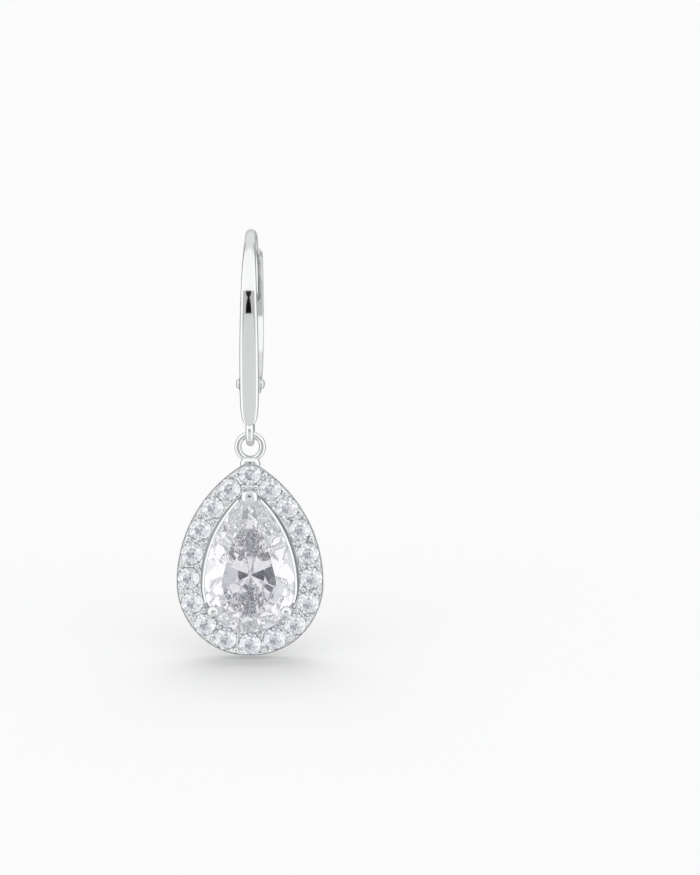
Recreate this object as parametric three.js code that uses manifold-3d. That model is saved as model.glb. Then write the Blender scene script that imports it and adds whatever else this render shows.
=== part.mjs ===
// A teardrop drop earring on a lever-back ear wire, one of a pair.
//
// Millimetres. +Z is up, the front of the earring faces -Y and +X is to the
// right as it is seen from the front. The origin is where it hangs: the
// underside of the ear wire's crown, on its middle line.
import * as THREE from 'three';
import { mergeVertices, toCreasedNormals } from 'three/addons/utils/BufferGeometryUtils.js';
import Module from 'manifold-3d';

const wasm = await Module();
wasm.setup();

// Clearances between pieces
const stoneGap = 0.025;         // round a stone in its seat
const slideGap = 0.04;          // between the lever's cheeks and the lug
const pinGap = 0.02;            // round the rivet's pin
const linkGap = 0.02;           // where the pendant's ring rests in the eye

// Ear wire
const crownThickness = 0.75;
const crownWidth = 0.73;
const shieldWidth = 1.27;       // the front, at its widest
const shieldThickness = 0.85;
const shieldBottom = -12.2;
const shieldLean = 6;           // degrees that the lower front leans back
const bendRadius = 7.5;         // of the gentle bend at the front-most place
const frontMost = 3.6;          // how far the front stands before the crown
const frontMostHeight = -4.05;
const roundWireRun = 1.5;       // round wire on each side of the crown
const tailTaperRun = 2;
const tailRoundRun = 0.4;
const widestRun = 10.6;         // from the crown to the widest place
const tailWidth = 0.66;
const tailThickness = 0.6;
const tailReach = 3.4;
const tailBendHeight = -3;
const tailEnd = -3.75;

// Eye at the foot of the ear wire
const eyeWire = 0.275;
const eyeRadius = 0.775;
const eyeSetBack = 1.6;
const eyeDrop = 0.45;           // of the eye's centre below the shield's foot
const eyeHeight = shieldBottom - eyeDrop;

// Hinge
const hingeSetBack = 1.35;
const hingeHeight = -9.56;
const lugHalfWidth = 0.42;
const lugRadius = 0.6;
const lugTop = -8.7;
const lugFoot = -10.35;
const lugTopSetBack = 0.35;     // behind the middle of the shield
const lugFootSetBack = 0.5;
const lugShoulder = 0.15;
const cheekHalfWidth = 0.71;
const cheekRadius = 0.62;
const forkRadius = 0.95;
const pinRadius = 0.2;
const rivetHeadRadius = 0.355;
const rivetHeadHeight = 0.225;
const rivetHeadSide = 0.06;

// Lever
const leverThickness = 0.7;
const leverTopHalfWidth = 0.6;
const leverTop = -0.65;
const leverTipHalfWidth = 0.26;
const leverTipRun = 0.55;
const leverWeb = 0.27;
const leverBandSetBack = 0.25;  // the strip's middle behind the tail's middle
const leverStraightEnd = -4.3;
const leverHingeThickness = 0.5;
const leverSwingDown = -7.6;    // where the curve to the hinge is pulled to
const leverSwingIn = 1.6;
const leverSwingHeight = -9.1;
const slotHalfWidth = 0.46;
const slotEnd = -4.1;
const leverChamfer = 0.08;

// Pendant's ring, which hangs in the eye
const ringWire = 0.225;
const ringRadius = 0.815;
const hangHeight = eyeHeight - eyeRadius + eyeWire + linkGap + ringWire;
const ringHeight = hangHeight - ringRadius;
const solderTop = 0.38;
const solderFoot = 0.55;
const solderRise = 0.12;        // above the middle of the ring's lowest wire
const solderSink = 0.38;        // below the plate's tip
const solderDepth = 0.56;

// A pear outline: its round foot's radius, its side arcs' radius and the
// height of the round foot's centre
const tipReach = ({ round, side }) => Math.sqrt(side ** 2 - (side - round) ** 2);

// Pendant: a pear-shaped halo plate with its face towards the front
const pendantFace = -2.1;       // where the plate's front face is
const plateDrop = 0.864;        // from the ring's middle to the plate's tip
const pear = { round: 2.98, side: 8.17 };
const stoneMargin = 0.29;       // between the centre stone's side and the plate
const haloBand = 1.63;          // width of the plate, seen from the front
const halo = { round: pear.round + stoneMargin + haloBand, side: 9.2 };
halo.centre = ringHeight - plateDrop - tipReach(halo);
const haloTip = ringHeight - plateDrop;
const haloThickness = 1.1;
const haloEdge = 0.05;          // small chamfer on the plate's edges
const haloDraft = 0.12;         // how far the back draws in from the front
const haloStones = 18;
const haloStoneInset = 0.82;
const haloStoneSize = 1.45;
const haloStoneBack = 0.03;     // the small stones' girdles behind the face
const haloTableRise = 0.239;
const haloGirdle = 0.035;       // height of the small stones' girdles
const seatWall = 0.3;           // cut clear in front of the face
const seatHole = 0.34;
const beadRadius = 0.19;
const beadSpread = 0.5;         // from the stones' line to each row of beads

// Centre stone and what holds it
const stoneDrop = 0.266;        // of its round foot's centre below the halo's
pear.centre = halo.centre - stoneDrop;
const stoneTip = pear.centre + tipReach(pear);
const girdleTop = -0.42;        // measured back from the plate's face
const girdleFoot = -0.32;
const crownHeight = 0.8;
const pavilionDepth = 2.5;
const culetRise = 0.45;         // above the round foot's centre
const railGap = 0.03;
const railWall = 0.17;
const railTop = -0.36;
const railSlope = 0.1;
const railTipDrop = 0.68;       // below the stone's tip
const railFootDrop = 1.12;      // below the round foot's centre
const ledgeTop = 0.45;
const ledgeInset = 0.3;
const ledgeLap = 0.4;           // of the ledge into the plate
const baseRailInset = 1.05;
const baseRailWidth = 0.45;
const baseRailTop = 1.75;
const baseRailThickness = 0.45;
const strutRadius = 0.27;
const strutInset = 0.05;
const prongRadius = 0.36;
const prongPlace = 1.382;       // round the stone's edge: 1 is its widest place, 2 its foot
const prongInset = 0.01;
const prongCrown = -0.78;
const prongDome = 0.2;
const prongRoot = 0.9;
const tipProngHalfWidth = 0.46;
const tipProngRise = 0.37;      // above the stone's tip
const tipProngDrop = 0.74;      // below the stone's tip
const tipProngCrown = -0.86;
const tipProngEdge = 0.1;

const whiteGold = () => new THREE.MeshStandardMaterial({ color: 0xd9dadd, roughness: 0.12, metalness: 1 });
const clearStone = () => new THREE.MeshStandardMaterial({ color: 0xf2f5fa, roughness: 0.03, metalness: 0 });
const smallStone = () => new THREE.MeshStandardMaterial({ color: 0xe9eef6, roughness: 0.03, metalness: 0 });

// Solids for cutting and joining
function solidOf(geometry) {
  const bare = new THREE.BufferGeometry();
  bare.setAttribute('position', geometry.getAttribute('position').clone());
  if (geometry.index) bare.setIndex(geometry.index.clone());
  const merged = mergeVertices(bare, 1e-5);
  const solid = new wasm.Manifold(new wasm.Mesh({
    numProp: 3,
    vertProperties: Float32Array.from(merged.getAttribute('position').array),
    triVerts: Uint32Array.from(merged.index.array),
  }));
  return solid;
}

function geometryOf(solid) {
  const mesh = solid.getMesh();
  const geometry = new THREE.BufferGeometry();
  geometry.setAttribute('position', new THREE.BufferAttribute(mesh.vertProperties, 3));
  geometry.setIndex(new THREE.BufferAttribute(mesh.triVerts, 1));
  return geometry;
}

function piece(name, geometry, material, crease = 0.6) {
  const mesh = new THREE.Mesh(toCreasedNormals(geometry, crease), material);
  mesh.name = name;
  return mesh;
}

// A skin over rings of points; open rings of a rod get an end cap each
function loft(rings, { looped }) {
  const count = rings[0].length;
  const points = rings.flat();
  const faces = [];
  const last = looped ? rings.length : rings.length - 1;
  for (let r = 0; r < last; r++) {
    const a = r * count;
    const b = ((r + 1) % rings.length) * count;
    for (let i = 0; i < count; i++) {
      const j = (i + 1) % count;
      faces.push(a + i, a + j, b + j, a + i, b + j, b + i);
    }
  }
  if (!looped) {
    const end = (rings.length - 1) * count;
    for (let i = 1; i < count - 1; i++) {
      faces.push(0, i + 1, i, end, end + i, end + i + 1);
    }
  }
  const geometry = new THREE.BufferGeometry().setFromPoints(points);
  geometry.setIndex(faces);
  return facingOut(geometry);
}

function facingOut(geometry) {
  const at = (i) => new THREE.Vector3().fromBufferAttribute(geometry.getAttribute('position'), i);
  const index = Array.from(geometry.index.array);
  let volume = 0;
  for (let f = 0; f < index.length; f += 3) {
    volume += at(index[f]).dot(at(index[f + 1]).cross(at(index[f + 2])));
  }
  if (volume < 0) geometry.setIndex(index.reverse());
  return geometry;
}

// A point of a side view, Y and Z, set out across X
const sideways = (across, sidePoint) => new THREE.Vector3(across, sidePoint.x, sidePoint.y);

function outwardOf(tangent) {
  return new THREE.Vector2(-tangent.y, tangent.x);
}

// A flat outline in the side view, made thick across X
function sidePlate(outline, halfWidth) {
  const plate = new THREE.ExtrudeGeometry(new THREE.Shape(outline), {
    depth: 2 * halfWidth,
    bevelEnabled: false,
    curveSegments: 18,
  });
  plate.translate(0, 0, -halfWidth);
  plate.applyMatrix4(new THREE.Matrix4().makeBasis(
    new THREE.Vector3(0, 1, 0), new THREE.Vector3(0, 0, 1), new THREE.Vector3(1, 0, 0)));
  return plate;
}

// A closed profile turned about the Y axis
function turned(profile, segments) {
  const round = new THREE.LatheGeometry(profile, segments);
  return facingOut(mergeVertices(round.deleteAttribute('normal').deleteAttribute('uv'), 1e-5));
}

function crossPin(radius, halfLength, segments) {
  const pin = new THREE.CylinderGeometry(radius, radius, 2 * halfLength, segments);
  pin.rotateZ(Math.PI / 2);
  pin.translate(0, -hingeSetBack, hingeHeight);
  return pin;
}

// Ear wire: one bent and flattened wire from its tail over the crown and
// down the front, with an eye turned at the foot and a lug for the hinge
function wirePath() {
  const crown = crownThickness / 2;
  const front = frontMost - crownThickness / 2;
  const lean = THREE.MathUtils.degToRad(shieldLean);
  const bendCentre = bendRadius - front;
  const path = new THREE.Path();
  path.moveTo(tailReach, tailEnd);
  path.lineTo(tailReach, tailBendHeight);
  path.absellipse(0, tailBendHeight, tailReach, crown - tailBendHeight, 0, Math.PI / 2, false);
  path.absellipse(0, frontMostHeight, front, crown - frontMostHeight, Math.PI / 2, Math.PI, false);
  path.absarc(bendCentre, frontMostHeight, bendRadius, Math.PI, Math.PI + lean, false);
  const down = frontMostHeight - bendRadius * Math.sin(lean) - shieldBottom;
  path.lineTo(bendCentre - bendRadius * Math.cos(lean) + down * Math.tan(lean), shieldBottom);
  return path;
}

function earWire() {
  const path = wirePath();
  const lengths = path.getCurveLengths();
  const total = lengths.at(-1);
  const crownAt = lengths[1];
  const frontRun = total - crownAt;

  function sizeAt(along) {
    const run = along - crownAt;
    if (run < 0) {
      const back = Math.min(1, Math.max(0, (-run - roundWireRun) / tailTaperRun));
      const left = along / tailRoundRun;
      const end = left < 1 ? Math.sqrt(1 - (1 - left) ** 2 * 0.85) : 1;
      return [
        THREE.MathUtils.lerp(crownWidth, tailWidth, back) * end,
        THREE.MathUtils.lerp(crownThickness, tailThickness, back) * end,
        2,
      ];
    }
    const grow = Math.min(1, Math.max(0, (run - roundWireRun) / (widestRun - roundWireRun)));
    const swell = Math.sin(grow * Math.PI / 2);
    const foot = Math.max(0, (run - widestRun) / (frontRun - widestRun)) * 0.985;
    return [
      THREE.MathUtils.lerp(crownWidth, shieldWidth, swell) * (1 - foot ** 4) ** 0.25,
      THREE.MathUtils.lerp(crownThickness, shieldThickness, swell) * (1 - foot ** 8) ** 0.125,
      2 + 1.2 * Math.min(1, 3 * grow),
    ];
  }

  const stops = [];
  const footRun = frontRun - widestRun;
  const straight = total - footRun * 0.35 - tailRoundRun;
  for (const part of [0, 0.33, 0.66]) stops.push(part * tailRoundRun);
  for (let i = 0; i < 34; i++) stops.push(tailRoundRun + straight * i / 34);
  for (const rest of [0.35, 0.25, 0.16, 0.09, 0.035, 0]) stops.push(total - rest * footRun);
  const corners = 14;
  const rings = stops.map((along) => {
    const middle = path.getPointAt(along / total);
    const outward = outwardOf(path.getTangentAt(along / total));
    const [width, thickness, squareness] = sizeAt(along);
    return Array.from({ length: corners }, (_, i) => {
      const turn = (i / corners) * 2 * Math.PI;
      const c = Math.cos(turn);
      const s = Math.sin(turn);
      const across = Math.sign(c) * Math.abs(c) ** (2 / squareness) * width / 2;
      const out = Math.sign(s) * Math.abs(s) ** (2 / squareness) * thickness / 2;
      return sideways(across, middle.clone().addScaledVector(outward, out));
    });
  });

  const eye = new THREE.TorusGeometry(eyeRadius, eyeWire, 10, 24);
  eye.rotateY(Math.PI / 2);
  eye.translate(0, -eyeSetBack, eyeHeight);

  const shieldMiddle = -frontMost + shieldThickness / 2;
  const lug = new THREE.Path();
  lug.moveTo(shieldMiddle + lugTopSetBack, lugTop);
  lug.lineTo(-hingeSetBack - lugShoulder, hingeHeight + lugRadius);
  lug.absarc(-hingeSetBack, hingeHeight, lugRadius, Math.PI / 2, -Math.PI / 2, true);
  lug.lineTo(shieldMiddle + lugFootSetBack, lugFoot);

  const solid = solidOf(loft(rings, { looped: false }))
    .add(solidOf(eye))
    .add(solidOf(sidePlate(lug.getPoints(14), lugHalfWidth)))
    .subtract(solidOf(crossPin(pinRadius + pinGap, 2 * cheekHalfWidth, 20)));
  return piece('ear_wire', geometryOf(solid), whiteGold());
}

// Rivet: a pin through the lever's cheeks and the lug, domed at both ends
function rivet() {
  const inside = cheekHalfWidth + pinGap;
  const outside = inside + rivetHeadHeight;
  const half = [
    new THREE.Vector2(pinRadius, 0),
    new THREE.Vector2(pinRadius, inside),
    new THREE.Vector2(rivetHeadRadius, inside),
    new THREE.Vector2(rivetHeadRadius, inside + rivetHeadSide),
  ];
  for (let i = 1; i <= 4; i++) {
    const turn = (i / 4) * Math.PI / 2;
    half.push(new THREE.Vector2(
      rivetHeadRadius * Math.cos(turn),
      inside + rivetHeadSide + (outside - inside - rivetHeadSide) * Math.sin(turn)));
  }
  half.at(-1).x = 0;
  const mirrored = half.slice(1).reverse().map((p) => new THREE.Vector2(p.x, -p.y));
  const pin = turned([...mirrored, ...half], 20);
  pin.rotateZ(Math.PI / 2);
  pin.translate(0, -hingeSetBack, hingeHeight);
  return piece('rivet', geometryOf(solidOf(pin)), whiteGold());
}

// Lever: a curved strip behind the lobe, slotted above for the wire's tail
// and forked below to straddle the lug
function leverPath() {
  const reach = tailReach + leverBandSetBack;
  const rise = crownThickness / 2 + leverBandSetBack - tailBendHeight;
  const start = Math.asin((leverTop - tailBendHeight) / rise);
  const path = new THREE.Path();
  path.absellipse(0, tailBendHeight, reach, rise, start, 0, true);
  path.lineTo(reach, leverStraightEnd);
  path.bezierCurveTo(reach, leverSwingDown, leverSwingIn, leverSwingHeight, -hingeSetBack, hingeHeight);
  return path;
}

function lever() {
  const path = leverPath();
  const total = path.getLength();
  const steps = 28;
  const stops = [0, 0.22 * leverTipRun, 0.5 * leverTipRun, leverTipRun];
  for (let i = 1; i <= steps; i++) stops.push(leverTipRun + (total - leverTipRun) * i / steps);
  const rings = stops.map((along) => {
    const middle = path.getPointAt(along / total);
    const outward = outwardOf(path.getTangentAt(along / total));
    const down = along / total;
    const tip = Math.min(1, along / leverTipRun);
    const wide = THREE.MathUtils.lerp(leverTopHalfWidth, cheekHalfWidth, down);
    const w = THREE.MathUtils.lerp(leverTipHalfWidth, wide, Math.sqrt(1 - (1 - tip) ** 2));
    const thick = THREE.MathUtils.lerp(leverThickness, leverHingeThickness, Math.max(0, (down - 0.4) / 0.6));
    const t = thick / 2;
    const c = leverChamfer;
    const corners = [
      [w, t - c], [w - c, t], [c - w, t], [-w, t - c],
      [-w, c - t], [c - w, -t], [w - c, -t], [w, c - t],
    ];
    return corners.map(([across, out]) => sideways(across, middle.clone().addScaledVector(outward, out)));
  });

  // The slot for the tail, open to the front, with a round end
  const floor = leverThickness / 2 - leverWeb;
  const reach = tailReach + leverBandSetBack;
  const rise = crownThickness / 2 + leverBandSetBack - tailBendHeight;
  const slot = new THREE.Path();
  slot.absellipse(0, tailBendHeight, reach + floor, rise + floor, 1.2, 0, true);
  slot.lineTo(reach + floor, slotEnd + slotHalfWidth);
  slot.lineTo(reach - leverThickness, slotEnd + slotHalfWidth);
  slot.lineTo(reach - leverThickness, tailBendHeight);
  slot.absellipse(0, tailBendHeight, reach - leverThickness, rise - leverThickness, 0, 1.2, false);
  const slotRound = new THREE.CylinderGeometry(slotHalfWidth, slotHalfWidth, leverThickness + floor, 24);
  slotRound.translate(0, reach + floor - (leverThickness + floor) / 2, slotEnd + slotHalfWidth);

  const forkHalfWidth = lugHalfWidth + slideGap;
  const fork = crossPin(forkRadius, forkHalfWidth, 32);
  const cheeks = crossPin(cheekRadius, cheekHalfWidth, 28);
  const solid = solidOf(loft(rings, { looped: false }))
    .add(solidOf(cheeks))
    .subtract(solidOf(fork))
    .subtract(solidOf(sidePlate(slot.getPoints(16), slotHalfWidth)))
    .subtract(solidOf(slotRound))
    .subtract(solidOf(crossPin(pinRadius + pinGap, 2 * cheekHalfWidth, 20)));
  return piece('lever', geometryOf(solid), whiteGold());
}

// Pear outline: two side arcs that meet in a tip and a round foot
function pearPoint({ round, side, centre }, inset, where) {
  const beyond = side - round;
  const tipAngle = Math.acos(beyond / (side - inset));
  const hand = where < 0 ? -1 : 1;
  const w = Math.abs(where);
  if (w <= 1) {
    const turn = tipAngle * (1 - w);
    return new THREE.Vector2(
      hand * ((side - inset) * Math.cos(turn) - beyond),
      centre + (side - inset) * Math.sin(turn));
  }
  const turn = -(w - 1) * Math.PI / 2;
  return new THREE.Vector2(
    hand * (round - inset) * Math.cos(turn),
    centre + (round - inset) * Math.sin(turn));
}

// Which way the edge faces there
function pearOutward({ round, side }, inset, where) {
  if (where === 0) return new THREE.Vector2(0, 1);
  const tipAngle = Math.acos((side - round) / (side - inset));
  const w = Math.abs(where);
  const turn = w <= 1 ? tipAngle * (1 - w) : -(w - 1) * Math.PI / 2;
  return new THREE.Vector2(Math.sign(where) * Math.cos(turn), Math.sin(turn));
}

// Places round a pear: 0 is the tip, 1 the widest place and 2 the foot,
// positive on the right and negative on the left
function pearPlaces(sideSteps, roundSteps) {
  const right = [];
  for (let i = 0; i < sideSteps; i++) right.push(i / sideSteps);
  for (let i = 0; i <= roundSteps; i++) right.push(1 + i / roundSteps);
  return [...right, ...right.slice(1, -1).reverse().map((w) => -w)];
}

// Evenly spaced places along a line set in from a pear's edge
function evenPlaces(shape, inset, count) {
  const tipAngle = Math.acos((shape.side - shape.round) / (shape.side - inset));
  const sideRun = tipAngle * (shape.side - inset);
  const roundRun = (Math.PI / 2) * (shape.round - inset);
  const pitch = 2 * (sideRun + roundRun) / count;
  return Array.from({ length: count }, (_, i) => {
    const hand = i > count / 2 ? -1 : 1;
    const run = pitch * (hand > 0 ? i : count - i);
    const place = run < sideRun ? run / sideRun : 1 + (run - sideRun) / roundRun;
    return hand * place;
  });
}

const onPendant = (point, back) => new THREE.Vector3(point.x, pendantFace + back, point.y);

// A band that runs round a pear, from its section: which pear, how far in
// from its edge and how far back
function pearBand(section, sideSteps = 11, roundSteps = 10) {
  const places = pearPlaces(sideSteps, roundSteps);
  const rings = section.map(([shape, inset, back]) => (
    places.map((w) => onPendant(pearPoint(shape, inset, w), back))));
  return loft(rings, { looped: true });
}

// A round or pear outline cut to facets, each a flat plane through the girdle
function cutStone(outline, facets, top, foot, girdle) {
  const blank = new THREE.ExtrudeGeometry(new THREE.Shape(outline), {
    depth: foot - top,
    bevelEnabled: false,
  });
  blank.rotateX(Math.PI / 2);
  blank.translate(0, foot, 0);
  let stone = solidOf(blank);
  for (const { point, outward, slope, back } of facets) {
    const hand = back ? 1 : -1;
    const tilt = Math.sin(slope);
    const normal = new THREE.Vector3(outward.x * tilt, hand * Math.cos(slope), outward.y * tilt);
    const through = new THREE.Vector3(point.x, back ? girdle[1] : girdle[0], point.y);
    stone = stone.trimByPlane(normal.clone().negate().toArray(), -normal.dot(through));
  }
  return stone;
}

// Centre stone: a pear brilliant, table to the front
function pearBrilliant(grow) {
  const shape = { ...pear, round: pear.round + grow, side: pear.side + grow };
  const outline = pearPlaces(10, 10).map((w) => pearPoint(shape, 0, w));
  const culet = new THREE.Vector2(0, shape.centre + culetRise);
  const facets = [];
  const mains = [0, 0.42, 0.86, 1.32, 1.68, 2, -0.42, -0.86, -1.32, -1.68];
  const halves = [0.2, 0.3, 0.56, 0.72, 1.02, 1.16, 1.44, 1.56, 1.8, 1.92];
  function facet(where, steeper, back) {
    const point = pearPoint(shape, 0, where);
    const outward = pearOutward(shape, 0, where);
    const span = outward.dot(point.clone().sub(culet));
    const slope = back ? Math.atan(pavilionDepth / span) : THREE.MathUtils.degToRad(35);
    facets.push({ point, outward, slope: slope + THREE.MathUtils.degToRad(steeper), back });
  }
  for (const back of [false, true]) {
    for (const w of mains) facet(w, 0, back);
    for (const w of halves) {
      facet(w, back ? 1.6 : 5, back);
      facet(-w, back ? 1.6 : 5, back);
    }
  }
  return cutStone(outline, facets, girdleTop - crownHeight - grow, girdleFoot + pavilionDepth + 2 * grow,
    [girdleTop - grow, girdleFoot + grow]);
}

function centreStone() {
  const stone = geometryOf(pearBrilliant(0));
  stone.translate(0, pendantFace, 0);
  return piece('centre_stone', stone, clearStone(), 0.01);
}

// Small round brilliant: eight mains and sixteen halves above and below
function roundBrilliant() {
  const radius = haloStoneSize / 2;
  const girdle = [-haloGirdle / 2, haloGirdle / 2];
  const outline = Array.from({ length: 16 }, (_, i) => {
    const turn = (i / 16) * 2 * Math.PI;
    return new THREE.Vector2(radius * Math.cos(turn), radius * Math.sin(turn));
  });
  const facets = [];
  for (let i = 0; i < 16; i++) {
    const turn = ((i + 0.5) / 16) * 2 * Math.PI;
    const outward = new THREE.Vector2(Math.cos(turn), Math.sin(turn));
    const point = outward.clone().multiplyScalar(radius * Math.cos(Math.PI / 16));
    facets.push({ point, outward, slope: THREE.MathUtils.degToRad(40), back: false });
    facets.push({ point, outward, slope: THREE.MathUtils.degToRad(42.3), back: true });
  }
  for (let i = 0; i < 8; i++) {
    const turn = (i / 8) * 2 * Math.PI;
    const outward = new THREE.Vector2(Math.cos(turn), Math.sin(turn));
    const point = outward.clone().multiplyScalar(radius);
    facets.push({ point, outward, slope: THREE.MathUtils.degToRad(34), back: false });
    facets.push({ point, outward, slope: THREE.MathUtils.degToRad(40.8), back: true });
  }
  return geometryOf(cutStone(outline, facets, -haloTableRise, radius, girdle));
}

const stonePlaces = evenPlaces(halo, haloStoneInset, haloStones);

function turnOf(place) {
  const outward = pearOutward(halo, haloStoneInset, place);
  return Math.atan2(outward.y, outward.x);
}

function haloStoneSet() {
  const cut = roundBrilliant();
  return stonePlaces.map((place, i) => {
    const stone = piece(`halo_stone_${String(i + 1).padStart(2, '0')}`, cut.clone(), smallStone(), 0.01);
    const at = pearPoint(halo, haloStoneInset, place);
    stone.position.set(at.x, pendantFace + haloStoneBack, at.y);
    stone.rotation.y = -turnOf(place);
    return stone;
  });
}

// Seat of a small stone: a straight wall past the girdle, a cone for the
// pavilion and a hole through the back
function seatCutter(place) {
  const radius = haloStoneSize / 2 + stoneGap;
  const shoulder = haloStoneBack + haloGirdle / 2 + stoneGap;
  const cone = radius * Math.tan(THREE.MathUtils.degToRad(42.3)) + shoulder;
  const coneAt = shoulder + (cone - shoulder) * (radius - seatHole) / radius;
  const profile = [
    new THREE.Vector2(0, -seatWall),
    new THREE.Vector2(radius, -seatWall),
    new THREE.Vector2(radius, shoulder),
    new THREE.Vector2(seatHole, coneAt),
    new THREE.Vector2(seatHole, 2 * haloThickness),
    new THREE.Vector2(0, 2 * haloThickness),
  ];
  const cutter = turned(profile, 16);
  cutter.rotateY(Math.PI / 2 - turnOf(place));
  const at = pearPoint(halo, haloStoneInset, place);
  cutter.translate(at.x, pendantFace, at.y);
  return solidOf(cutter);
}

function rodBetween(from, to, radius, segments) {
  const rod = new THREE.CylinderGeometry(radius, radius, from.distanceTo(to), segments);
  const along = to.clone().sub(from).normalize();
  rod.applyQuaternion(new THREE.Quaternion().setFromUnitVectors(new THREE.Vector3(0, 1, 0), along));
  const middle = from.clone().lerp(to, 0.5);
  rod.translate(middle.x, middle.y, middle.z);
  return rod;
}

// Prong with a domed end, standing at the stone's edge
function prong(hand) {
  const straight = prongCrown + prongDome;
  const profile = [
    new THREE.Vector2(0, prongRoot),
    new THREE.Vector2(prongRadius, prongRoot),
    new THREE.Vector2(prongRadius, straight),
    new THREE.Vector2(prongRadius * 0.87, straight - prongDome / 2),
    new THREE.Vector2(prongRadius * 0.5, straight - prongDome * 0.87),
    new THREE.Vector2(0, prongCrown),
  ];
  const post = turned(profile, 16);
  const at = onPendant(pearPoint(pear, prongInset, hand * prongPlace), 0);
  post.translate(at.x, at.y, at.z);
  return solidOf(post);
}

// Prong over the stone's tip: a small cap with a ridge down its middle
function tipProng() {
  const w = tipProngHalfWidth;
  const h = tipProngRise + tipProngDrop;
  const outline = new THREE.Shape();
  outline.moveTo(0, 0);
  outline.quadraticCurveTo(w * 0.75, -h * 0.1, w, -h * 0.62);
  outline.quadraticCurveTo(w * 1.02, -h * 0.98, w * 0.6, -h);
  outline.quadraticCurveTo(w * 0.2, -h * 0.97, 0, -h * 0.86);
  outline.quadraticCurveTo(-w * 0.2, -h * 0.97, -w * 0.6, -h);
  outline.quadraticCurveTo(-w * 1.02, -h * 0.98, -w, -h * 0.62);
  outline.quadraticCurveTo(-w * 0.75, -h * 0.1, 0, 0);
  const cap = new THREE.ExtrudeGeometry(outline, {
    depth: prongRoot - tipProngCrown - tipProngEdge,
    bevelEnabled: true,
    bevelThickness: tipProngEdge,
    bevelSize: tipProngEdge * 0.8,
    bevelOffset: -tipProngEdge * 0.8,
    bevelSegments: 2,
    curveSegments: 4,
  });
  cap.rotateX(Math.PI / 2);
  cap.translate(0, pendantFace + prongRoot, stoneTip + tipProngRise);
  return solidOf(cap);
}

// Pendant frame: ring, halo plate, rail, prongs and basket, one casting
function pendantFrame() {
  const plate = pearBand([
    [halo, haloEdge, 0],
    [halo, 0, haloEdge],
    [halo, haloDraft, haloThickness],
    [halo, haloBand, haloThickness],
    [halo, haloBand, haloEdge],
    [halo, haloBand - haloEdge, 0],
  ]);
  const ledge = pearBand([
    [halo, haloBand - ledgeLap, ledgeTop],
    [halo, haloBand - ledgeLap, haloThickness],
    [pear, ledgeInset, haloThickness],
    [pear, ledgeInset, ledgeTop],
  ]);
  const rail = pearBand([
    [pear, -railGap, railTop],
    [pear, -railGap - railWall, railTop + railSlope],
    [pear, -railGap - railWall, (ledgeTop + haloThickness) / 2],
    [pear, -railGap, (ledgeTop + haloThickness) / 2],
  ]);
  const baseRail = pearBand([
    [pear, baseRailInset, baseRailTop],
    [pear, baseRailInset, baseRailTop + baseRailThickness],
    [pear, baseRailInset + baseRailWidth, baseRailTop + baseRailThickness],
    [pear, baseRailInset + baseRailWidth, baseRailTop],
  ], 7, 6);

  // The rail stops beside the tip prong and at the two lower prongs
  const railEnd = stoneTip - railTipDrop;
  const railFoot = pear.centre - railFootDrop;
  const keep = new THREE.BoxGeometry(2 * halo.round, 4 * haloThickness, railEnd - railFoot);
  keep.translate(0, pendantFace, (railEnd + railFoot) / 2);

  const ring = new THREE.TorusGeometry(ringRadius, ringWire, 10, 24);
  ring.rotateX(Math.PI / 2);
  ring.translate(0, -eyeSetBack, ringHeight);

  const solderTopHeight = ringHeight - ringRadius + solderRise;
  const solderFootHeight = haloTip - solderSink;
  const solderShape = new THREE.Shape([
    new THREE.Vector2(-solderTop, solderTopHeight),
    new THREE.Vector2(-solderFoot, solderFootHeight),
    new THREE.Vector2(solderFoot, solderFootHeight),
    new THREE.Vector2(solderTop, solderTopHeight),
  ]);
  const solder = new THREE.ExtrudeGeometry(solderShape, { depth: solderDepth, bevelEnabled: false });
  solder.rotateX(Math.PI / 2);
  solder.translate(0, -eyeSetBack + solderDepth / 2, 0);

  let frame = solidOf(plate)
    .add(solidOf(ledge))
    .add(solidOf(rail).intersect(solidOf(keep)))
    .add(solidOf(baseRail))
    .add(solidOf(ring))
    .add(solidOf(solder))
    .add(tipProng())
    .add(prong(1))
    .add(prong(-1));

  for (const where of [0, 0.72, -0.72, 1.45, -1.45]) {
    const upper = pearPoint(pear, strutInset, where);
    const lower = pearPoint(pear, baseRailInset + baseRailWidth / 2, where);
    const strut = rodBetween(
      onPendant(upper, haloThickness - strutRadius),
      onPendant(lower, baseRailTop + baseRailThickness / 2), strutRadius, 10);
    frame = frame.add(solidOf(strut));
  }

  for (const place of stonePlaces) frame = frame.subtract(seatCutter(place));
  frame = frame.subtract(pearBrilliant(stoneGap).translate([0, pendantFace, 0]));

  // Two beads in each space between neighbouring small stones
  const betweenPlaces = evenPlaces(halo, haloStoneInset, 2 * haloStones).filter((_, i) => i % 2);
  for (const place of betweenPlaces) {
    for (const spread of [-beadSpread, beadSpread]) {
      const at = pearPoint(halo, haloStoneInset, place);
      const turn = turnOf(place);
      const bead = new THREE.SphereGeometry(beadRadius, 7, 5);
      bead.rotateY(turn);
      bead.translate(at.x + spread * Math.cos(turn), pendantFace, at.y + spread * Math.sin(turn));
      frame = frame.add(solidOf(bead));
    }
  }
  return piece('pendant_frame', geometryOf(frame), whiteGold());
}

const earring = new THREE.Group();
earring.name = 'teardrop_drop_earring';
earring.add(earWire(), rivet(), lever(), pendantFrame(), centreStone(), ...haloStoneSet());

export default earring;
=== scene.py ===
import math

import bmesh
import bpy
from mathutils import Matrix, Vector


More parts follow.
